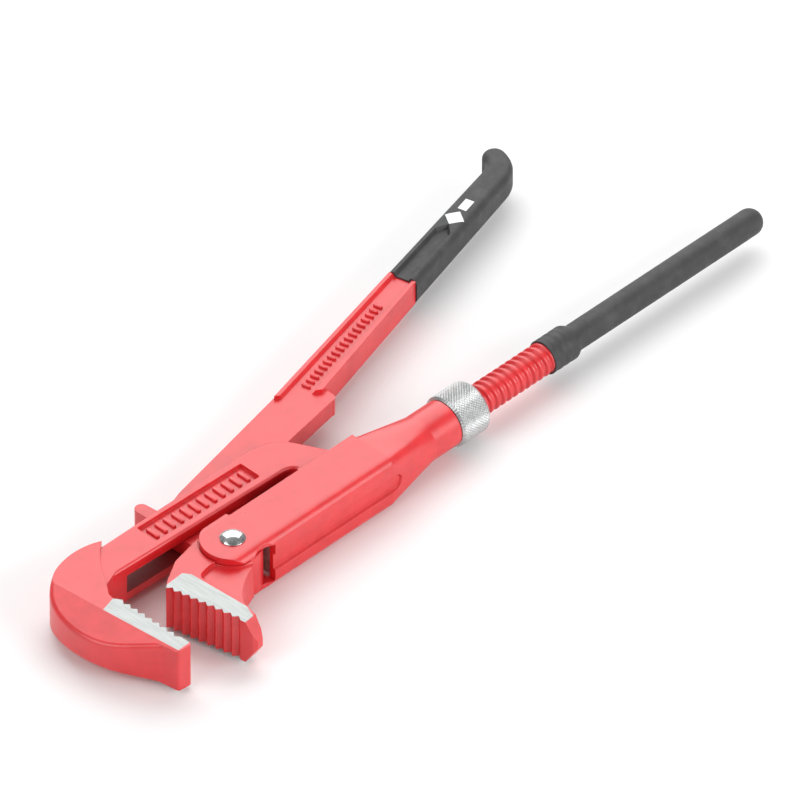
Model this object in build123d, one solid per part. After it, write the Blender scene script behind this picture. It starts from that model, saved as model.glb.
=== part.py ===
from build123d import *
import os
from math import cos, pi, radians, sin, sqrt, tan

# Swedish-pattern pipe wrench, 1 1/2 inch class. Millimetres.
# Origin: on the housing's flat bottom face, straight below the pivot rivet.
# +X runs along the threaded rod towards the handles, +Z is up.

# ---- driving dimensions ----
MID = 14.0                # height of the tool's middle plane over the housing's bottom
HOUSING_Y_WEB = -13.9     # outside of the housing's web
HOUSING_Y_EDGE = 12.0     # open edges of the channel
SHEET = 3.5               # housing sheet thickness
BEND_R = 5.0              # outside bend radius of the housing
WEB_START = 13.0          # hook end of the web
EAR_R = 14.9              # round ear about the rivet
EAR_TOP = 14.3            # straight top edge of the ear
RIVET_R = 4.0             # pivot rivet shank
RIVET_HEAD_R = 5.9
RIVET_HEAD_H = 2.8
RIVET_SINK_R = 6.0        # its flush bottom head
SPRING_TIP, SPRING_TAIL = 13.2, 60.0
SPRING_T, SPRING_W = 1.2, 17.6
SPRING_TAB_TOP = -5.0     # how far in the spring's bent end reaches
SPRING_RIVET_X = 50.0
SPRING_RIVET_R, SPRING_RIVET_HEAD_R, SPRING_RIVET_HEAD_H = 1.6, 2.8, 0.7
PIVOT_GAP = 0.06          # running clearance round the rivet
BOSS_R = 13.6             # lower jaw's boss between the ears
BOSS_HALF = 10.2          # half thickness of boss and tail, inside the channel
JAW_HALF = 11.5           # half thickness of both jaws
SHANK_HALF = 10.25        # half thickness of the slotted shank
PLATE_HALF = 4.5          # half thickness of the lever's plate
SLOT_HALF = 4.85          # half height of the shank's through slot
SHANK_ROUND = 1.6         # rounding of the shank's outer edges
LABEL_AT = (10.0, 31.3, -1.5)       # middle and turn of the shank's recess
LABEL_SIZE, LABEL_CORNER, LABEL_DEPTH = (64.0, 12.4), 0.8, 2.0
TOOTH_DEPTH = 1.9
FACET_ANGLE = 17.0        # slope of the hook's back towards its outer edge, degrees
FACET_WIDTH = 22.0
BACK_ROUND = 2.4          # rounding of the hook's outer edge
TIP_ROUND = 1.6           # rounding of the corners at the hook's tip
ROD_R = 7.7               # thread crest radius
CORE_R = 5.7              # plain end of the rod inside its grip
SKIN = 0.8                # dipped plastic thickness
TAIL_START, TAIL_END = 57.0, 74.0   # block that joins shank and rod inside the housing
GRIP_START = 197.5        # hook end of the rod's grip
GRIP_STEP = (212.0, 217.0)          # where the grip narrows
HANDLE_END = 337.0        # far end of the rod's grip
BEAM_HALF = 6.4           # half thickness of the lever's I-beam
GRIP_ROUND = 3.6          # edge radius of the lever's grip
BEAM_END = 6.8            # half width of the beam where the grip starts
TIP_START = 82.0          # where the lever's end starts to bend out, from the grip's start
TIP_END = (95.4, 7.2)     # middle of the lever's round end, in the lever's frame
TIP_WAY = (0.447, 0.894)  # direction in which the end points
LEVER_ANGLE = 14.4        # lever axis, degrees from +X
LEVER_AT = (188.7, 79.3)  # where the lever's grip begins
NUT_R = 12.8
NUT_START, NUT_END = 134.4, 151.8
NUT_CHAMFER = 1.2
THREAD_GAP = 0.06         # between the rod's thread and the nut
COLLAR_R = 11.5
COLLAR_START, COLLAR_END = 118.0, 134.0
NECK_R, NECK_GAP = 9.5, 0.08
GROOVE_R = 8.95           # bottom of the nut's groove, which the collar's rolled lip holds
LIP_START, LIP_END = 129.4, 131.2
ROOF_INSIDE = 9.4         # inside of the closed roof at its start
GROOVE_END, GROOVE_WIDTH, GROOVE_DEPTH = 94.0, 9.6, 1.5  # web's stiffening groove
NECK_CLEAR_R = 15.6       # full jaw thickness starts outside this circle about the pivot
NECK_HALF = 9.2           # half thickness of the jaw's hollowed neck
BOX_END = 88.0            # where the channel's box section starts to turn into the round collar
ROOF_START = 93.2         # where the channel closes over the rod

LEVER_FRAME = Location((LEVER_AT[0], LEVER_AT[1], MID), (0, 0, LEVER_ANGLE))


# ---- helpers ----
def plate(face, half):
    """A flat outline made solid to both sides of the middle plane."""
    return extrude(Pos(0, 0, MID) * face, amount=half, both=True)


def face_cuts(face, half, depth):
    """Solids that sink an outline into both flat sides of a plate."""
    top = extrude(Pos(0, 0, MID + half - depth) * face, amount=depth + 1)
    bottom = extrude(Pos(0, 0, MID - half - 1) * face, amount=depth + 1)
    return top + bottom


def rod(radius, start, end):
    """A round bar on the rod's axis."""
    return Plane((start, 0, MID), x_dir=(0, 1, 0), z_dir=(1, 0, 0)) * extrude(Circle(radius), end - start)


def teeth(first, last, count):
    """Tooth points from the first crest to the last; grooves cut to the left of that way."""
    start, stop = Vector(*first), Vector(*last)
    step = (stop - start) / (count - 1)
    inward = Vector(-step.Y, step.X).normalized() * TOOTH_DEPTH
    points = []
    for i in range(count - 1):
        crest = start + step * i
        points += [crest, crest + step * 0.5 + inward]
    points.append(stop)
    return [(p.X, p.Y) for p in points]


def rounded(part, radius, pick):
    """Round the edges whose middle point passes the test."""
    return fillet([edge for edge in part.edges() if pick(edge)], radius)


def flat_edge(edge, half, tolerance=0.01):
    """True for an edge that lies in one of a plate's two flat sides."""
    box = edge.bounding_box()
    level = abs(edge.center().Z - MID)
    return box.size.Z < tolerance and abs(level - half) < tolerance


def wedge_face(start, end, top):
    """Outline between a slope and a level above it, and its mirror image below the middle plane."""
    upper = make_face(Polyline(start, end, (end[0], top), (start[0], top), start))
    return upper + mirror(upper, Plane.XZ)


# ---- fixed leg: hook jaw, slotted shank and tail ----
def hook_jaw():
    outer = Spline(
        (-40, 42.2), (-51, 45.2), (-66, 43.6), (-80.5, 34.5),
        (-88, 16), (-85.3, -7), (-77.5, -19.5), (-71.6, -28),
    )
    tip = Polyline((-71.6, -28), (-70.4, -35.6), (-63, -36.2), (-62, -35), (-62, -29))
    crests = teeth((-62, -29), (-62, 7), 9)
    throat = Polyline(crests + [(-64.4, 10.7), (-63.7, 14.2), (-57.5, 22.3)])
    step = ThreePointArc((-57.5, 22.3), (-50.5, 32.5), (-40, 42.2))
    jaw = plate(make_face(outer.edges() + tip.edges() + throat.edges() + step.edges()), JAW_HALF)
    jaw -= back_facets()
    jaw = rounded(jaw, TIP_ROUND, lambda e: e.bounding_box().size.Z > JAW_HALF and e.center().Y < -35.3)
    return rounded(jaw, BACK_ROUND, lambda e: e.length > 40 and e.center().X < -74)


def back_facets():
    """Wedges that slope the hook's back down from the line behind the toothed land."""
    ridge = Plane((-72.2, 0, MID), x_dir=(-1, -0.085, 0), z_dir=(0.085, -1, 0))
    drop = FACET_WIDTH * tan(radians(FACET_ANGLE))
    wedge = wedge_face((0, JAW_HALF), (FACET_WIDTH, JAW_HALF - drop), JAW_HALF + 2)
    return extrude(ridge * wedge, amount=60, both=True)


def shank():
    outline = Polyline((-60, 20), (-52, 23), (50, 19.8)).edges()
    outline += Spline((50, 19.8), (58, 15), tangents=((1, -0.03), (0.2, -1))).edges()
    outline += Polyline((58, 15), (78, 13.8), (69.5, 30.5)).edges()
    outline += Spline((69.5, 30.5), (47, 41), tangents=((-8.5, 16.7), (-1, 0))).edges()
    outline += Polyline((47, 41), (-41, 41), (-56, 32), (-60, 20)).edges()
    body = plate(make_face(outline), SHANK_HALF)
    body = rounded(
        body, SHANK_ROUND, lambda e: flat_edge(e, SHANK_HALF) and e.center().Y > 15 and e.center().X > -20
    )
    tail_top = 16
    middle = Pos((TAIL_START + TAIL_END) / 2, (tail_top - ROD_R) / 2)
    return body + plate(middle * Rectangle(TAIL_END - TAIL_START, tail_top + ROD_R), BOSS_HALF)


def hook_jaw_leg():
    leg = hook_jaw() + shank()
    slot = Polyline((-43.5, 0), (55, 0), (80, 10), (80, 60), (-43.5, 60), (-43.5, 0))
    leg -= plate(make_face(slot), SLOT_HALF)
    x, y, turn = LABEL_AT
    label = Pos(x, y) * Rot(0, 0, turn) * RectangleRounded(*LABEL_SIZE, LABEL_CORNER)
    return leg - face_cuts(label, SHANK_HALF, LABEL_DEPTH)


# ---- threaded rod and its grip ----
def rod_blank(skin):
    """Rod outline turned about its axis: threaded length, taper, slim handle with a round end."""
    r_thread, r_core, x_end = ROD_R + skin, CORE_R + skin, HANDLE_END - SKIN + skin
    step_start, step_end = GRIP_STEP
    x_dome = x_end - r_core
    profile = Polyline(
        (GRIP_START, 0), (GRIP_START, r_thread), (step_start, r_thread), (step_end, r_core), (x_dome, r_core)
    ).edges()
    on_dome = (x_dome + r_core * cos(pi / 4), r_core * sin(pi / 4))
    profile += ThreePointArc((x_dome, r_core), on_dome, (x_end, 0)).edges()
    profile += Line((x_end, 0), (GRIP_START, 0)).edges()
    return Pos(0, 0, MID) * revolve(make_face(profile), Axis.X)


def threaded_rod():
    return rod(ROD_R, TAIL_END, GRIP_START) + rod_blank(0)


def rod_grip():
    return rod_blank(SKIN) - rod_blank(0)


# ---- housing with its fixed parts ----
def channel_section(y_low, y_high, half, corner, x):
    """A rounded rectangle square to the rod's axis."""
    plane = Plane((x, (y_low + y_high) / 2, MID), x_dir=(0, 1, 0), z_dir=(1, 0, 0))
    return plane * RectangleRounded(y_high - y_low, 2 * half, corner)


def round_section(radius, x):
    return Plane((x, 0, MID), x_dir=(0, 1, 0), z_dir=(1, 0, 0)) * Circle(radius)


def ear_outline():
    """Side view of the housing's hook end: round ear, notch and the corner of the web."""
    shoulder = (-sqrt(EAR_R**2 - EAR_TOP**2), EAR_TOP)
    heel = (-3.5, -sqrt(EAR_R**2 - 3.5**2))
    edges = ThreePointArc(shoulder, (-EAR_R, 0), heel).edges()
    corner = (WEB_START - 1, HOUSING_Y_WEB)
    edges += Spline(heel, (4.5, -12.0), corner, tangents=((1, 0.1), (1, -0.9))).edges()
    edges += Polyline(
        corner, (40, HOUSING_Y_WEB), (40, HOUSING_Y_EDGE), (16, HOUSING_Y_EDGE), (11.5, EAR_TOP), shoulder
    ).edges()
    return make_face(edges)


def housing():
    section_top = HOUSING_Y_EDGE + BEND_R
    inner_web, inner_half = HOUSING_Y_WEB + SHEET, MID - SHEET
    shell = extrude(channel_section(HOUSING_Y_WEB, section_top, MID, BEND_R, -20), BOX_END + 20)
    shell -= Pos(60, HOUSING_Y_EDGE + 25, MID) * Box(100, 50, 60)
    reach = Pos(10, 0) * Rectangle(60, 80)
    shell -= plate(reach - ear_outline(), MID + 1)
    shell += loft([
        channel_section(HOUSING_Y_WEB, HOUSING_Y_EDGE + 0.4, MID, BEND_R, BOX_END),
        round_section(COLLAR_R, COLLAR_START),
    ])
    shell += rod(COLLAR_R, COLLAR_START, COLLAR_END)
    channel = channel_section(inner_web, section_top + 20, inner_half, 1.5, -30)
    shell -= extrude(channel, ROOF_START + 30)
    shell -= Pos(WEB_START - 30, 0, MID) * Box(60, 80, 2 * inner_half)
    shell -= loft([
        channel_section(inner_web, ROOF_INSIDE, inner_half, 1.5, ROOF_START - 0.5),
        round_section(ROD_R + 0.9, COLLAR_START),
    ])
    shell -= rod(NECK_R + NECK_GAP, COLLAR_START, LIP_START)
    shell -= rod(GROOVE_R + NECK_GAP, LIP_START, LIP_END)
    shell -= rod(NECK_R + NECK_GAP, LIP_END, COLLAR_END)
    web_face = Plane((0, HOUSING_Y_WEB, MID), x_dir=(1, 0, 0), z_dir=(0, -1, 0))
    past_edge = WEB_START - 20
    groove = Pos((past_edge + GROOVE_END) / 2, 0) * SlotOverall(GROOVE_END - past_edge, GROOVE_WIDTH)
    shell -= extrude(web_face * groove, -GROOVE_DEPTH, taper=30)
    shell -= rivet_shape()
    shell -= spring_rivet()
    return shell


def rivet_shape():
    """Pivot rivet: domed head on top, flush countersunk head below."""
    top, rim = 2 * MID, 0.4
    height = RIVET_HEAD_H - rim
    dome_r = (RIVET_HEAD_R**2 + height**2) / (2 * height)
    upright = (Align.CENTER, Align.CENTER, Align.MIN)
    shank = Cylinder(RIVET_R, top, align=upright)
    sunk = Cone(RIVET_SINK_R, RIVET_R, RIVET_SINK_R - RIVET_R, align=upright)
    head = Pos(0, 0, top) * Cylinder(RIVET_HEAD_R, RIVET_HEAD_H, align=upright)
    dome = Pos(0, 0, top + RIVET_HEAD_H - dome_r) * Sphere(dome_r)
    return shank + sunk + (head & dome)


def leaf_spring():
    """Flat steel strip along the web, with its end bent in behind the jaw's heel."""
    base = HOUSING_Y_WEB + SHEET
    outline = Polyline(
        (SPRING_TAIL, base), (SPRING_TIP, base), (SPRING_TIP, SPRING_TAB_TOP),
        (SPRING_TIP + SPRING_T, SPRING_TAB_TOP), (SPRING_TIP + SPRING_T, base + SPRING_T),
        (SPRING_TAIL, base + SPRING_T), (SPRING_TAIL, base),
    )
    return plate(make_face(outline), SPRING_W / 2) - spring_rivet()


def spring_rivet():
    """Small rivet that holds the strip, flush in the floor of the web's groove."""
    y_groove = HOUSING_Y_WEB + GROOVE_DEPTH
    y_head = HOUSING_Y_WEB + SHEET + SPRING_T
    shank_at, head_at = (Plane((SPRING_RIVET_X, y, MID), z_dir=(0, 1, 0)) for y in (y_groove, y_head))
    shank = shank_at * extrude(Circle(SPRING_RIVET_R), y_head + SPRING_RIVET_HEAD_H - y_groove)
    return shank + head_at * extrude(Circle(SPRING_RIVET_HEAD_R), SPRING_RIVET_HEAD_H)


# ---- adjusting nut ----
def adjusting_nut():
    body = rod(NUT_R, NUT_START, NUT_END)
    body = chamfer([e for e in body.edges() if e.geom_type == GeomType.CIRCLE], NUT_CHAMFER)
    body += rod(NECK_R, COLLAR_START + 2, NUT_START)
    groove_start, groove_end = LIP_START - 0.3, LIP_END + 0.3
    body -= rod(NECK_R + 1, groove_start, groove_end) - rod(GROOVE_R, groove_start, groove_end)
    return body - rod(ROD_R + THREAD_GAP, COLLAR_START, NUT_END + 1)


# ---- lower jaw and lever, one forging ----
def jaw_outline():
    """Toothed block and neck, seen from above, down to the pivot."""
    crests = teeth((-43, -1), (-35.6, -40.0), 10)
    edges = Polyline(crests + [(-34.4, -46.6), (-32.8, -48.2), (-29.6, -48.0), (-28.2, -45.5)]).edges()
    edges += Spline((-28.2, -45.5), (-25.6, -34), (-20.5, -26.5), (-10, -19), (-2.5, -15.6)).edges()
    edges += Polyline((-2.5, -15.6), (0, 0), (-8, 13), (-27, 9), (-38.5, 2.5), (-43, -1)).edges()
    return make_face(edges)


def handle_outline(skin):
    """Grip end of the lever with its bent-out tip, in the lever's own frame."""
    near, far, tip_r = BEAM_END + skin, 5.8 + skin, 4.9 + skin
    slope = (near - far) / TIP_START
    end, out = Vector(*TIP_END), Vector(*TIP_WAY)
    side = Vector(out.Y, -out.X) * tip_r
    edges = Polyline((0, near), (0, -near), (TIP_START, -far)).edges()
    edges += Spline((TIP_START, -far), end + side, tangents=((1, slope), out)).edges()
    edges += ThreePointArc(end + side, end + out * tip_r, end - side).edges()
    edges += Spline(end - side, (TIP_START, far), tangents=(-out, (-1, slope))).edges()
    edges += Line((TIP_START, far), (0, near)).edges()
    return make_face(edges)


def lever_plate():
    """The plate that crosses the slotted shank, with its stop horn and lug."""
    edges = Polyline((-8, 8), (-9.2, 51)).edges()
    edges += ThreePointArc((-9.2, 51), (-6.0, 54.2), (-2.8, 51)).edges()
    edges += Polyline((-2.8, 51), (-2.0, 41.5), (13.5, 46.7), (90, 62.7), (110.6, 52), (110, 45.6)).edges()
    edges += ThreePointArc((110, 45.6), (108.9, 43.2), (106.4, 42.6)).edges()
    edges += Line((106.4, 42.6), (75, 37.3)).edges()
    edges += ThreePointArc((75, 37.3), (40, 24.5), (12.5, 4)).edges()
    edges += Line((12.5, 4), (-8, 8)).edges()
    return plate(make_face(edges), PLATE_HALF)


def beam():
    """I-section part of the lever, from the plate to the grip."""
    outline = make_face(Polyline((-101, 7.9), (-86, -8.5), (0, -BEAM_END), (0, BEAM_END), (-101, 7.9)))
    bar = LEVER_FRAME * extrude(outline, amount=BEAM_HALF, both=True)
    return bar - beam_pockets(0)


def beam_pockets(skin):
    """The hollows in both sides of the beam, with sloping walls, which fade out inside the grip."""
    near, far, start, end = 5.0 - skin, 3.6 - skin, -110, 36
    floor = make_face(
        Polyline((start, near), (start, -near), (end, -far), (end + 4, 0), (end, far), (start, near))
    )
    up = extrude(floor, 4, taper=-30)
    level = PLATE_HALF + skin
    return LEVER_FRAME * (Pos(0, 0, level) * up + Pos(0, 0, -level) * mirror(up, Plane.XY))


def handle_core(skin):
    """Bar inside the grip, or the grip's own outside when it has a skin."""
    half = BEAM_HALF + skin
    bar = extrude(handle_outline(skin), amount=half, both=True)
    rim = [e for e in bar.edges() if abs(abs(e.center().Z) - half) < 0.01 and e.center().X > 1]
    return LEVER_FRAME * fillet(rim, GRIP_ROUND - SKIN + skin) - beam_pockets(skin)


def end_bevels():
    """Wedges that slope the block's outer end towards both flat sides."""
    along = Plane((-36, -42.6, MID), x_dir=(0.1, -1, 0), z_dir=(1, 0.1, 0))
    return extrude(along * wedge_face((0, JAW_HALF), (7, 0.5), JAW_HALF + 2), amount=14, both=True)


def neck_hollow():
    """Outline of the shallow hollow in both flat sides of the neck, open towards the web."""
    edges = Spline((-27.2, -9), (-22, -4.4), (-15, -4), tangents=((0, 1), (1, -0.2))).edges()
    edges += Polyline((-15, -4), (5, -4), (5, -36), (-26.4, -36), (-27.2, -9)).edges()
    return make_face(edges)


def lower_jaw_lever():
    jaw = jaw_outline()
    hollow = neck_hollow() - Circle(NECK_CLEAR_R)
    block = plate(jaw, BOSS_HALF) + plate(jaw - Circle(NECK_CLEAR_R), JAW_HALF)
    block -= end_bevels() + face_cuts(hollow, JAW_HALF, JAW_HALF - NECK_HALF)
    boss = plate(Circle(BOSS_R), BOSS_HALF)
    lever = block + boss + lever_plate() + beam()
    lever += handle_core(0)
    pivot_hole = Pos(0, 0, MID) * Cylinder(RIVET_R + PIVOT_GAP, 4 * MID)
    return lever - pivot_hole


def lever_grip():
    return handle_core(SKIN) - handle_core(0)


parts = {
    "hook_jaw_leg": hook_jaw_leg(),
    "threaded_rod": threaded_rod(),
    "rod_grip": rod_grip(),
    "housing": housing(),
    "pivot_rivet": rivet_shape(),
    "leaf_spring": leaf_spring(),
    "spring_rivet": spring_rivet(),
    "adjusting_nut": adjusting_nut(),
    "lower_jaw_lever": lower_jaw_lever(),
    "lever_grip": lever_grip(),
}

os.makedirs("parts", exist_ok=True)
for name, part in parts.items():
    export_step(part, f"parts/{name}.step")
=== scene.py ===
import math

import bpy
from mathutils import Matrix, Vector


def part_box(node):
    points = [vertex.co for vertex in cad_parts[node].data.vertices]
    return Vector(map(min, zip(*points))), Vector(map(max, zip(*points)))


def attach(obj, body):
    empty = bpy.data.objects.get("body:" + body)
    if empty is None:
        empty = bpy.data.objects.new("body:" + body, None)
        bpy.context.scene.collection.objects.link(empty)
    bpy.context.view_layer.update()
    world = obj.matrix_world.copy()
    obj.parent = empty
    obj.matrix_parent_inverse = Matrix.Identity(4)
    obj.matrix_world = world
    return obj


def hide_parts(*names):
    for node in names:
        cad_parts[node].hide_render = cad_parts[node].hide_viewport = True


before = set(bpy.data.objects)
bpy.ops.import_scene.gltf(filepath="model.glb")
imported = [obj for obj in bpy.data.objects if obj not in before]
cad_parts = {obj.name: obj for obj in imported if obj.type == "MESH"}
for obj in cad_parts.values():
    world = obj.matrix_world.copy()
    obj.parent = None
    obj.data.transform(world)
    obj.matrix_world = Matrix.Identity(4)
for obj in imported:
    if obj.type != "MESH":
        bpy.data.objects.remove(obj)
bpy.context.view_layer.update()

# ---- sizes, in millimetres unless said otherwise ----
MM = 0.001
MID = 14.0                  # height of the tool's middle plane
THREAD_PITCH = 4.0
THREAD_DEPTH = 1.35
THREAD_START = 74.0         # where the rod leaves the block inside the housing
THREAD_FADE = 2.5           # length over which the thread runs out
THREAD_ROWS = 494           # mesh rows along the thread
RIPPLE_ROWS = 58            # mesh rows along the grip's thick end
ROD_COLUMNS = 96            # mesh columns round the rod
TAPER_ROWS, HANDLE_ROWS, DOME_ROWS = 7, 40, 10
QUARTER_STEPS = 4           # mesh steps round a small quarter circle
THREAD_ROOT, THREAD_FLANK = 0.22, 0.52  # shares of half a turn
GRIP_START = 197.5          # hook end of the rod's grip
GRIP_STEP = (212.0, 217.0)  # where the grip narrows
CORE_R = 5.7                # rod inside its slim grip
SKIN = 0.8                  # thickness of the dipped plastic
GRIP_LIP = 0.35             # rounding of the dipped edge
SHELL_GAP = 0.02            # between the rod and its sleeve
RIPPLE = 0.16               # how far the thread shows through the plastic
RIPPLE_FADE = 4.0
NUT_BORE_R = 7.76
NECK_R = 9.5
GROOVE_R = 8.95
GROOVE = (129.1, 131.5)
NUT_START = 134.4           # hook end of the knurled body
NUT_CHAMFER = 1.2
KNURL_ROWS = 37             # quarter diamonds along the nut
KNURL_COLUMNS = 200         # quarter diamonds round the nut
KNURL_DEPTH = 0.42
SHANK_FLOOR = 8.25          # recess floor of the shank, from the middle plane
SHANK_MARK_AT = (10.0, 31.3, -1.5)      # x, y and turn of the recess, degrees
LEVER_AT = (188.7, 79.3, 14.4)          # x, y and turn of the lever's axis
LEVER_FLOOR = 4.5           # floor of the lever's hollow, from the middle plane
BAND_SIDES = (11.44, 11.47) # heights from the middle plane over which the bare sides begin
BAND_EDGE = 0.12            # softness of the edge of the ground bands
# Each ground band lies to the right of all its lines, seen from above.
HOOK_BAND = (
    ((-69.4, -34.8), (-73.0, 8.5)),
    ((-73.0, 8.5), (-60.0, 12.0)),
    ((-60.0, -34.6), (-74.0, -34.9)),
)
LOWER_BAND = (
    ((-45.0, 0.2), (-30.0, 1.1)),
    ((-31.0, 1.4), (-28.2, -2.6)),
    ((-28.4, -2.0), (-26.8, -35.3)),
    ((-26.8, -35.3), (-30.2, -43.6)),
    ((-30.0, -43.2), (-36.0, -45.6)),
)
SLOT_SIDES = (4.88, 4.95)   # heights from the middle plane over which the slot's shade ends
SLOT_END = (-44.0, -43.6)   # where the slot's shade begins, along the rod
DIAMOND_AT, DIAMOND_HALF = 46.8, 5.0    # print on the lever's grip, along the lever
PRINT_BAR_S, PRINT_BAR_T = (53.4, 61.0), (-2.2, 2.2)
PRINT_EDGE = 0.08
PRINT_HEIGHT = (5.0, 5.2)   # heights from the middle plane over which the print begins
MARK_LEVELS = ((0.0, -0.2), (0.0, 0.75), (0.1, 1.0), (0.35, 1.15))  # inset and height of a mark
MARK_ROUNDING = 0.9         # share of half a mark's width
SHANK_MARKS, SHANK_MARK_SIZE = (-28.0, 28.0, 11), (7.8, 2.2)    # first, last and gaps; length and width
LEVER_MARKS, LEVER_MARK_SIZE = (-86.0, -22.0, 17), (4.6, 1.5)

# ---- studio, in metres, degrees and watts ----
FLOOR_HALF = 8.0
WORLD_STRENGTH = 0.36
LENS, SENSOR = 1400.0, 36.0             # millimetres
CAMERA_ANGLES = (-45.6, 40.0)           # azimuth and elevation
CAMERA_TARGET = (131.9, 25.2, 14.0)     # millimetres
CAMERA_DISTANCE = 13.9
LIGHTS = (
    ("key", (0.95, 0.95, 1.15), (2.4, 2.0), 36.0),
    ("left_fill", (-1.1, 0.2, 0.8), (0.9, 0.9), 6.5),
    ("right_fill", (0.35, -1.25, 0.6), (1.2, 0.8), 14.0),
)

# ---- colours, linear ----
RED = (0.72, 0.022, 0.028)
RED_DEEP = (0.62, 0.015, 0.020)
RED_THIN = (0.82, 0.070, 0.060)
SLOT_SHADE = (0.26, 0.010, 0.012)
GROUND_STEEL = (0.48, 0.50, 0.49)
GROUND_STEEL_DULL = (0.40, 0.42, 0.41)
GROUND_METALLIC = 0.55      # rough ground steel scatters part of its light
ZINC = (0.63, 0.64, 0.64)
ZINC_DULL = (0.46, 0.47, 0.47)
CHROME = (0.82, 0.82, 0.83)
SPRING_GREY = (0.42, 0.40, 0.38)
SPRING_DARK = (0.26, 0.24, 0.23)
PVC = (0.042, 0.042, 0.043)
PVC_WORN = (0.062, 0.062, 0.064)
PRINT_WHITE = (0.82, 0.83, 0.82)
FLOOR = (0.90, 0.90, 0.90)
FLOOR_TINT = (0.87, 0.87, 0.875)

# ---- finishes ----
EDGE_TURN = (0.90, 0.995)   # cosine over which a rounded edge counts as worn
PAINT_ROUNDING, PAINT_THINNING, PAINT_SPECULAR = 0.45, 0.55, 0.85
PAINT_ROUGHNESS, SLOT_ROUGHNESS, GROUND_ROUGHNESS = (0.24, 0.40), 0.6, 0.55
CAST_SIZE, CAST_DEPTH = 3.5, 0.05       # waviness of the forging under the paint, millimetres
GRAIN_SIZE, GRAIN_DEPTH = 0.55, 0.012   # fine grain of the paint, millimetres
STREAK_SIZE, STREAK_STRETCH = 0.9, (1.0, 0.08, 1.0)     # grinding marks run across the teeth
PVC_ROUNDING, PVC_WEAR, PVC_SPECULAR = 0.5, 0.5, 0.4
PVC_ROUGHNESS = (0.44, 0.68)
PVC_WAVE_SIZE, PVC_WAVE_DEPTH = 6.0, 0.08
PVC_PIT_SIZE, PVC_PIT_DEPTH = 0.35, 0.02


# ---- node helpers ----
def start_material(name):
    """A material with its node tree and principled shader."""
    material = bpy.data.materials.new(name)
    material.use_nodes = True
    tree = material.node_tree
    return material, tree, tree.nodes["Principled BSDF"]


def feed(tree, socket, value):
    """Links a socket, or sets its own value."""
    if isinstance(value, bpy.types.NodeSocket):
        tree.links.new(value, socket)
    else:
        socket.default_value = value


def calc(tree, operation, first, second=0.0):
    made = tree.nodes.new("ShaderNodeMath")
    made.operation = operation
    feed(tree, made.inputs[0], first)
    feed(tree, made.inputs[1], second)
    return made.outputs[0]


def spread(tree, value, low, high, to_low=0.0, to_high=1.0):
    """Clamped linear step from one range to another."""
    made = tree.nodes.new("ShaderNodeMapRange")
    for socket, number in zip(made.inputs, (value, low, high, to_low, to_high)):
        feed(tree, socket, number)
    return made.outputs[0]


def mixed(tree, factor, first, second):
    """Blend of two colours."""
    made = tree.nodes.new("ShaderNodeMix")
    made.data_type = "RGBA"
    feed(tree, made.inputs[0], factor)
    for socket, colour in zip(made.inputs[6:8], (first, second)):
        feed(tree, socket, colour if isinstance(colour, bpy.types.NodeSocket) else (*colour, 1.0))
    return made.outputs[2]


def object_place(tree):
    """Object coordinates, in metres."""
    return tree.nodes.new("ShaderNodeTexCoord").outputs["Object"]


def stretched(tree, scale):
    """Object coordinates stretched by a factor along each axis."""
    made = tree.nodes.new("ShaderNodeMapping")
    tree.links.new(object_place(tree), made.inputs["Vector"])
    made.inputs["Scale"].default_value = scale
    return made.outputs[0]


def noise(tree, size, detail=3.0, place=None):
    """Noise whose blotches are about size millimetres."""
    made = tree.nodes.new("ShaderNodeTexNoise")
    tree.links.new(place or object_place(tree), made.inputs["Vector"])
    made.inputs["Scale"].default_value = 1.0 / (size * MM)
    made.inputs["Detail"].default_value = detail
    return made.outputs[0]


def along(tree, direction, origin=(0.0, 0.0, 0.0)):
    """Distance in millimetres from an origin along a direction."""
    unit = Vector(direction).normalized()
    made = tree.nodes.new("ShaderNodeVectorMath")
    made.operation = "DOT_PRODUCT"
    tree.links.new(object_place(tree), made.inputs[0])
    made.inputs[1].default_value = unit / MM
    return calc(tree, "SUBTRACT", made.outputs["Value"], unit.dot(Vector(origin)))


def within(tree, value, low, high, soft):
    """1 between two limits, falling to 0 over a soft edge."""
    rise = spread(tree, value, low - soft, low + soft)
    fall = spread(tree, value, high - soft, high + soft, 1.0, 0.0)
    return calc(tree, "MULTIPLY", rise, fall)


def right_of(tree, start, end, soft):
    """1 to the right of the line from start to end, seen from above."""
    direction = (end[1] - start[1], start[0] - end[0], 0.0)
    return spread(tree, along(tree, direction, (*start, 0.0)), -soft, soft)


def product(tree, values):
    total = values[0]
    for value in values[1:]:
        total = calc(tree, "MULTIPLY", total, value)
    return total


def soft_edges(tree, radius):
    """Normal with every edge rounded off by a radius in millimetres."""
    made = tree.nodes.new("ShaderNodeBevel")
    made.samples = 6
    made.inputs["Radius"].default_value = radius * MM
    return made.outputs[0]


def edge_mask(tree, rounded_normal, low, high):
    """1 where the rounded normal turns away from the surface's own."""
    surface = tree.nodes.new("ShaderNodeNewGeometry").outputs["Normal"]
    made = tree.nodes.new("ShaderNodeVectorMath")
    made.operation = "DOT_PRODUCT"
    tree.links.new(rounded_normal, made.inputs[0])
    tree.links.new(surface, made.inputs[1])
    return spread(tree, made.outputs["Value"], low, high, 1.0, 0.0)


def bumped(tree, height, depth, normal=None):
    """Normal with a height of depth millimetres added."""
    made = tree.nodes.new("ShaderNodeBump")
    made.inputs["Distance"].default_value = depth * MM
    tree.links.new(height, made.inputs["Height"])
    if normal is not None:
        tree.links.new(normal, made.inputs["Normal"])
    return made.outputs[0]


# ---- masks that follow the parts ----
def over_middle(tree):
    """Height over the middle plane, in millimetres."""
    return along(tree, (0, 0, 1), (0, 0, MID))


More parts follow.
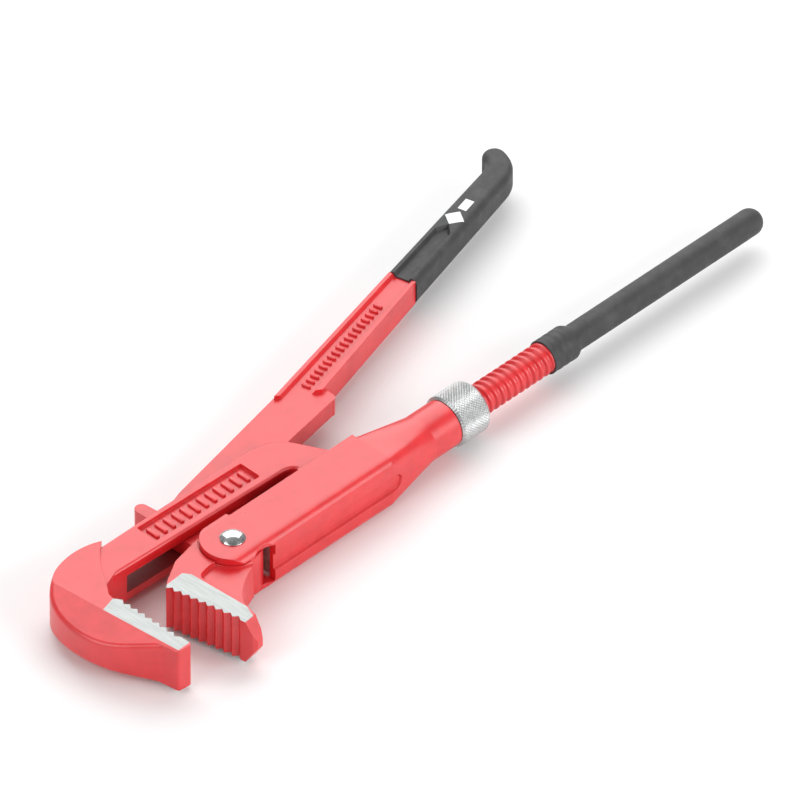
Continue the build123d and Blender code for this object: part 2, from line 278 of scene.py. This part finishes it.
def ground_band(tree, lines):
    """Bare band on both flat sides of a jaw, at its full thickness."""
    flat_sides = spread(tree, calc(tree, "ABSOLUTE", over_middle(tree)), *BAND_SIDES)
    return product(tree, [flat_sides] + [right_of(tree, *line, BAND_EDGE) for line in lines])


def hook_ground(tree):
    """Bare band behind the hook's teeth."""
    return ground_band(tree, HOOK_BAND)


def lower_ground(tree):
    """Bare band behind the lower jaw's teeth."""
    return ground_band(tree, LOWER_BAND)


def slot_inside(tree):
    """Faces of the shank's through slot, which get painted shade."""
    level = spread(tree, calc(tree, "ABSOLUTE", over_middle(tree)), *SLOT_SIDES, 1.0, 0.0)
    return calc(tree, "MULTIPLY", level, spread(tree, along(tree, (1, 0, 0)), *SLOT_END))


def grip_print(tree):
    """Generic white print on the lever's grip: a solid diamond and a plain bar."""
    turn = math.radians(LEVER_AT[2])
    origin = (LEVER_AT[0], LEVER_AT[1], MID)
    s = along(tree, (math.cos(turn), math.sin(turn), 0), origin)
    t = along(tree, (-math.sin(turn), math.cos(turn), 0), origin)
    upper = spread(tree, over_middle(tree), *PRINT_HEIGHT)
    from_middle = calc(tree, "ABSOLUTE", calc(tree, "SUBTRACT", s, DIAMOND_AT))
    reach = calc(tree, "ADD", from_middle, calc(tree, "ABSOLUTE", t))
    diamond = spread(tree, reach, DIAMOND_HALF - PRINT_EDGE, DIAMOND_HALF + PRINT_EDGE, 1.0, 0.0)
    bar_length = within(tree, s, *PRINT_BAR_S, PRINT_EDGE)
    bar = calc(tree, "MULTIPLY", bar_length, within(tree, t, *PRINT_BAR_T, PRINT_EDGE))
    return calc(tree, "MULTIPLY", calc(tree, "MAXIMUM", diamond, bar), upper)


# ---- materials ----
def enamel(name, ground=None, shade_mask=None):
    """Red paint over a forging: thinner on edges, ground off on bands, darkened inside a slot as painted
    shade.
    """
    material, tree, shader = start_material(name)
    rounded = soft_edges(tree, PAINT_ROUNDING)
    colour = mixed(tree, spread(tree, noise(tree, 9.0), 0.35, 0.7), RED, RED_DEEP)
    patchy = spread(tree, noise(tree, 2.2), 0.42, 0.62)
    worn = calc(tree, "MULTIPLY", edge_mask(tree, rounded, *EDGE_TURN), patchy)
    colour = mixed(tree, calc(tree, "MULTIPLY", worn, PAINT_THINNING), colour, RED_THIN)
    roughness = spread(tree, noise(tree, 3.0), 0.0, 1.0, *PAINT_ROUGHNESS)
    if shade_mask is not None:
        # painted shade: the slot's faces are darkened to a deep red-brown that stands for the shade inside
        # the slot
        painted_shade = shade_mask(tree)
        colour = mixed(tree, painted_shade, colour, SLOT_SHADE)
        roughness = spread(tree, painted_shade, 0.0, 1.0, roughness, SLOT_ROUGHNESS)
    if ground is not None:
        bright = ground(tree)
        streaks = noise(tree, STREAK_SIZE, 2.0, stretched(tree, STREAK_STRETCH))
        steel = mixed(tree, spread(tree, streaks, 0.35, 0.65), GROUND_STEEL, GROUND_STEEL_DULL)
        colour = mixed(tree, bright, colour, steel)
        roughness = spread(tree, bright, 0.0, 1.0, roughness, GROUND_ROUGHNESS)
        tree.links.new(calc(tree, "MULTIPLY", bright, GROUND_METALLIC), shader.inputs["Metallic"])
    cast = bumped(tree, noise(tree, CAST_SIZE, 2.0), CAST_DEPTH, rounded)
    normal = bumped(tree, noise(tree, GRAIN_SIZE, 2.0), GRAIN_DEPTH, cast)
    tree.links.new(colour, shader.inputs["Base Color"])
    tree.links.new(roughness, shader.inputs["Roughness"])
    tree.links.new(normal, shader.inputs["Normal"])
    shader.inputs["Specular IOR Level"].default_value = PAINT_SPECULAR
    return material


def metal(name, bright, dull, roughness, blotch, edge_radius, metallic=1.0):
    """Bare or plated metal with a slightly uneven finish."""
    material, tree, shader = start_material(name)
    patches = spread(tree, noise(tree, blotch, 4.0), 0.35, 0.7)
    tree.links.new(mixed(tree, patches, bright, dull), shader.inputs["Base Color"])
    low, high = roughness
    tree.links.new(spread(tree, noise(tree, blotch * 0.4), 0.0, 1.0, low, high), shader.inputs["Roughness"])
    shader.inputs["Metallic"].default_value = metallic
    rounded = soft_edges(tree, edge_radius)
    tree.links.new(bumped(tree, noise(tree, 0.5, 2.0), 0.008, rounded), shader.inputs["Normal"])
    return material


def dipped_plastic(name, printed=None):
    """Dark soft plastic from a dip bath: satin, finely pitted, lighter where hands rub it."""
    material, tree, shader = start_material(name)
    rounded = soft_edges(tree, PVC_ROUNDING)
    colour = mixed(tree, spread(tree, noise(tree, 7.0, 4.0), 0.45, 0.75), PVC, PVC_WORN)
    worn = calc(tree, "MULTIPLY", edge_mask(tree, rounded, *EDGE_TURN), PVC_WEAR)
    colour = mixed(tree, worn, colour, PVC_WORN)
    if printed is not None:
        patchy = spread(tree, noise(tree, 0.6), 0.25, 0.4, 0.75, 1.0)
        colour = mixed(tree, calc(tree, "MULTIPLY", printed(tree), patchy), colour, PRINT_WHITE)
    roughness = spread(tree, noise(tree, 2.0), 0.0, 1.0, *PVC_ROUGHNESS)
    wave = bumped(tree, noise(tree, PVC_WAVE_SIZE, 2.0), PVC_WAVE_DEPTH, rounded)
    normal = bumped(tree, noise(tree, PVC_PIT_SIZE), PVC_PIT_DEPTH, wave)
    tree.links.new(colour, shader.inputs["Base Color"])
    tree.links.new(roughness, shader.inputs["Roughness"])
    tree.links.new(normal, shader.inputs["Normal"])
    shader.inputs["Specular IOR Level"].default_value = PVC_SPECULAR
    return material


def studio_floor():
    """Pale matt paper."""
    material, tree, shader = start_material("pale_paper")
    tree.links.new(mixed(tree, noise(tree, 60.0), FLOOR, FLOOR_TINT), shader.inputs["Base Color"])
    shader.inputs["Roughness"].default_value = 0.9
    tree.links.new(bumped(tree, noise(tree, 1.2), 0.02), shader.inputs["Normal"])
    return material


# ---- mesh helpers ----
def finish_mesh(name, verts, faces, material, body, crease=32.0):
    """A mesh piece in the tool's frame, smooth up to a crease angle, that rides on a body."""
    mesh = bpy.data.meshes.new(name)
    mesh.from_pydata([Vector(v) * MM for v in verts], [], faces)
    mesh.validate()
    mesh.update()
    mesh.shade_smooth()
    mesh.set_sharp_from_angle(angle=math.radians(crease))
    mesh.materials.append(material)
    piece = bpy.data.objects.new(name, mesh)
    bpy.context.scene.collection.objects.link(piece)
    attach(piece, body)
    return piece


def turned(rows, columns, offset=None, cut_rows=range(0), ring=False):
    """Vertices and faces of a shape turned about the rod's axis.

    Rows are (x, radius) in outward order, and a radius of 0 is a pole. offset adds to the radius
    by row and column. cut_rows are split into triangles, and ring joins the last row to the first.
    """
    verts, rings = [], []
    for i, (x, radius) in enumerate(rows):
        if radius == 0:
            rings.append([len(verts)] * columns)
            verts.append((x, 0.0, MID))
            continue
        rings.append(list(range(len(verts), len(verts) + columns)))
        for j in range(columns):
            angle = 2 * math.pi * j / columns
            r = radius + (offset(i, j, x, angle) if offset else 0.0)
            verts.append((x, r * math.cos(angle), MID + r * math.sin(angle)))
    faces = []
    for i in range(len(rows) - (0 if ring else 1)):
        here, there = rings[i], rings[(i + 1) % len(rows)]
        for j in range(columns):
            k = (j + 1) % columns
            quad = [here[j], here[k], there[k], there[j]]
            if i in cut_rows:
                faces += cut_quad(quad, i - cut_rows[0] + j)
            else:
                faces.append(list(dict.fromkeys(quad)))
    return verts, [face for face in faces if len(face) > 2]


def cut_quad(quad, place):
    """Two triangles whose shared diagonal joins the corners at even places."""
    a, b, c, d = quad
    if place % 2:
        return [[a, b, d], [b, c, d]]
    return [[a, b, c], [a, c, d]]


def steps(start, end, count):
    return [start + (end - start) * i / count for i in range(count + 1)]


def quarter(x, r, radius):
    """Profile points of a rounded corner, from an end face at x to a surface at r."""
    angles = steps(0.0, math.pi / 2, QUARTER_STEPS)
    return [(x + radius * (1 - math.cos(a)), r - radius * (1 - math.sin(a))) for a in angles]


# ---- threaded rod ----
def thread_wave(x, angle):
    """Depth share of a rolled right-hand thread: 0 on the crest, 1 in the valley."""
    turn = (x / THREAD_PITCH - angle / (2 * math.pi)) % 1.0
    slope = abs(turn - 0.5) * 2.0
    share = min(max((slope - THREAD_ROOT) / THREAD_FLANK, 0.0), 1.0)
    return 1.0 - share * share * (3 - 2 * share)


def rod_profile(skin):
    """Profile of the rod, or of its grip's outside, from the thread's end to the round tip."""
    low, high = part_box("threaded_rod")
    crest = (high.z - low.z) / 2 / MM + skin
    core = CORE_R + skin
    x_end = high.x / MM + skin
    middle = x_end - core
    rows = [(x, crest) for x in steps(GRIP_START, GRIP_STEP[0], RIPPLE_ROWS)]
    for share in steps(1.0 / (TAPER_ROWS + 1), 1.0, TAPER_ROWS):
        ease = share * share * (3 - 2 * share)
        rows.append((GRIP_STEP[0] + (GRIP_STEP[1] - GRIP_STEP[0]) * share, crest + (core - crest) * ease))
    rows += [(x, core) for x in steps(GRIP_STEP[1], middle, HANDLE_ROWS)[1:]]
    for angle in steps(0.0, math.pi / 2, DOME_ROWS)[1:-1]:
        rows.append((middle + core * math.sin(angle), core * math.cos(angle)))
    rows.append((x_end, 0))
    return rows


def make_rod(material):
    low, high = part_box("threaded_rod")
    crest = (high.z - low.z) / 2 / MM
    rows = [(THREAD_START, 0), (THREAD_START, crest - THREAD_DEPTH)]
    rows += [(x, crest) for x in steps(THREAD_START, GRIP_START, THREAD_ROWS)[1:-1]]
    rows += rod_profile(0.0)

    def offset(i, j, x, angle):
        if i < 2 or x > GRIP_STEP[0]:
            return 0.0
        run_out = min((GRIP_STEP[0] - x) / THREAD_FADE, 1.0)
        return -THREAD_DEPTH * thread_wave(x, angle) * run_out

    verts, faces = turned(rows, ROD_COLUMNS, offset)
    rod = finish_mesh("rod_with_thread", verts, faces, material, "leg", 60.0)
    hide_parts("threaded_rod")
    return rod


def make_rod_grip(material):
    """Dipped sleeve: the thread shows faintly through its thick end, and its edge is rounded."""
    outside = rod_profile(SKIN)
    inside = rod_profile(SHELL_GAP)
    lip = quarter(GRIP_START, outside[0][1], GRIP_LIP)
    rows = lip + [row for row in outside if row[0] > lip[-1][0]]
    outer_count = len(rows)
    rows += reversed(inside)

    def offset(i, j, x, angle):
        if not len(lip) <= i < outer_count or x > GRIP_STEP[0]:
            return 0.0
        fade = min((GRIP_STEP[0] - x) / RIPPLE_FADE, (x - GRIP_START) / RIPPLE_FADE, 1.0)
        return -RIPPLE * thread_wave(x, angle) * fade

    verts, faces = turned(rows, ROD_COLUMNS, offset, ring=True)
    grip = finish_mesh("rod_sleeve", verts, faces, material, "leg", 60.0)
    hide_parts("rod_grip")
    return grip


# ---- adjusting nut ----
def knurl_height(row, column):
    """Height share of diamond knurling: 0 in the two sets of crossing grooves, 1 on the peaks."""
    waves = [((row + column) / 4) % 1.0, ((row - column) / 4) % 1.0]
    return min(1.0 - abs(wave - 0.5) * 2.0 for wave in waves)


def make_nut(material):
    low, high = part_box("adjusting_nut")
    neck, end, radius = low.x / MM, high.x / MM, (high.z - low.z) / 2 / MM
    rows = [
        (neck, NUT_BORE_R), (neck, NECK_R), (GROOVE[0], NECK_R), (GROOVE[0], GROOVE_R),
        (GROOVE[1], GROOVE_R), (GROOVE[1], NECK_R), (NUT_START, NECK_R), (NUT_START, radius - NUT_CHAMFER),
    ]
    first = len(rows)
    rows += [(x, radius) for x in steps(NUT_START + NUT_CHAMFER, end - NUT_CHAMFER, KNURL_ROWS)]
    last = len(rows) - 1
    mouth = NUT_BORE_R + NUT_CHAMFER / 2
    rows += [(end, radius - NUT_CHAMFER), (end, mouth), (end - NUT_CHAMFER / 2, NUT_BORE_R)]

    def offset(i, j, x, angle):
        return -KNURL_DEPTH * (1.0 - knurl_height(i - first, j)) if first <= i <= last else 0.0

    verts, faces = turned(rows, KNURL_COLUMNS, offset, range(first, last), ring=True)
    nut = finish_mesh("knurled_nut", verts, faces, material, "nut", 25.0)
    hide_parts("adjusting_nut")
    return nut


# ---- generic raised marks, in place of lettering ----
def raised_bar(verts, faces, place, size, base, side):
    """Adds one bar with round ends and a rounded top; side is 1 above the middle plane, -1 below."""
    x, y, turn = place
    length, width = size
    corner = width / 2 * MARK_ROUNDING
    start = len(verts)
    outline = []
    for quadrant in range(4):
        right, up = (1, -1, -1, 1)[quadrant], (1, 1, -1, -1)[quadrant]
        for share in steps(0.0, 1.0, QUARTER_STEPS):
            angle = (quadrant + share) * math.pi / 2
            centre = (right * (length / 2 - corner), up * (width / 2 - corner))
            outline.append((*centre, math.cos(angle), math.sin(angle)))
    for inset, height in MARK_LEVELS:
        for cx, cy, ux, uy in outline:
            px, py = cx + (corner - inset) * ux, cy + (corner - inset) * uy
            verts.append((
                x + px * math.cos(turn) - py * math.sin(turn),
                y + px * math.sin(turn) + py * math.cos(turn),
                MID + side * (base + height),
            ))
    count = len(outline)
    rings = [[start + level * count + k for k in range(count)] for level in range(len(MARK_LEVELS))]
    made = [rings[0][::-1], rings[-1]]
    for lower, upper in zip(rings, rings[1:]):
        made += [[lower[k], lower[(k + 1) % count], upper[(k + 1) % count], upper[k]] for k in range(count)]
    faces += made if side > 0 else [face[::-1] for face in made]


def mark_row(name, frame_at, spans, size, base, material, body):
    """Bars square to a line through frame_at, at each distance in spans, on both flat sides."""
    x, y, degrees = frame_at
    turn = math.radians(degrees)
    verts, faces = [], []
    for side in (1, -1):
        for s in spans:
            place = (x + s * math.cos(turn), y + s * math.sin(turn), turn + math.pi / 2)
            raised_bar(verts, faces, place, size, base, side)
    return finish_mesh(name, verts, faces, material, body, 50.0)


# ---- studio ----
def aim(obj, target):
    obj.rotation_mode = "QUATERNION"
    obj.rotation_quaternion = (Vector(target) - obj.location).to_track_quat("-Z", "Y")


def soft_light(name, location, size, power, target):
    """Rectangular softbox; metres and watts."""
    data = bpy.data.lights.new(name, "AREA")
    data.shape = "RECTANGLE"
    data.size, data.size_y = size
    data.energy = power
    lamp = bpy.data.objects.new(name, data)
    bpy.context.scene.collection.objects.link(lamp)
    lamp.location = location
    aim(lamp, target)


def make_floor():
    verts = [(x * FLOOR_HALF, y * FLOOR_HALF, 0.0) for x, y in ((-1, -1), (1, -1), (1, 1), (-1, 1))]
    mesh = bpy.data.meshes.new("floor")
    mesh.from_pydata(verts, [], [[0, 1, 2, 3]])
    mesh.materials.append(studio_floor())
    floor = bpy.data.objects.new("floor", mesh)
    bpy.context.scene.collection.objects.link(floor)


def make_world():
    world = bpy.data.worlds.new("studio")
    world.use_nodes = True
    background = world.node_tree.nodes["Background"]
    background.inputs["Color"].default_value = (1.0, 1.0, 1.0, 1.0)
    background.inputs["Strength"].default_value = WORLD_STRENGTH
    bpy.context.scene.world = world


def make_camera():
    """Long lens, 40 degrees above the floor, looking from the hook end towards the handles."""
    data = bpy.data.cameras.new("camera")
    data.lens, data.sensor_width = LENS, SENSOR
    data.clip_end = 4 * CAMERA_DISTANCE
    camera = bpy.data.objects.new("camera", data)
    bpy.context.scene.collection.objects.link(camera)
    azimuth, elevation = (math.radians(angle) for angle in CAMERA_ANGLES)
    level = math.cos(elevation)
    back = Vector((math.sin(azimuth) * level, -math.cos(azimuth) * level, math.sin(elevation)))
    target = Vector(CAMERA_TARGET) * MM
    camera.location = target + back * CAMERA_DISTANCE
    aim(camera, target)
    bpy.context.scene.camera = camera


# ---- the tool ----
def paint_nodes(materials):
    """Gives each carried-over CAD node its material."""
    for name, material in materials.items():
        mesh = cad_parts[name].data
        mesh.materials.clear()
        mesh.materials.append(material)


red = enamel("red_enamel")
zinc = metal("zinc_plate", ZINC, ZINC_DULL, (0.24, 0.36), 1.6, 0.15)
plastic = dipped_plastic("dipped_plastic")
paint_nodes({
    "hook_jaw_leg": enamel("hook_enamel", hook_ground, slot_inside),
    "lower_jaw_lever": enamel("lever_enamel", lower_ground),
    "housing": enamel("housing_enamel"),
    "spring_rivet": red,
    "pivot_rivet": metal("polished_rivet", CHROME, GROUND_STEEL_DULL, (0.10, 0.16), 3.0, 0.3),
    "leaf_spring": metal("spring_steel", SPRING_GREY, SPRING_DARK, (0.34, 0.5), 4.0, 0.2, 0.5),
    "lever_grip": dipped_plastic("printed_plastic", grip_print),
})
make_rod(red)
make_rod_grip(plastic)
make_nut(zinc)
mark_row("shank_ribs", SHANK_MARK_AT, steps(*SHANK_MARKS), SHANK_MARK_SIZE, SHANK_FLOOR, red, "leg")
mark_row("lever_ribs", LEVER_AT, steps(*LEVER_MARKS), LEVER_MARK_SIZE, LEVER_FLOOR, red, "lever")

make_floor()
make_world()
for light in LIGHTS:
    soft_light(*light, Vector(CAMERA_TARGET) * MM)
make_camera()
bpy.context.scene.view_settings.view_transform = "Standard"
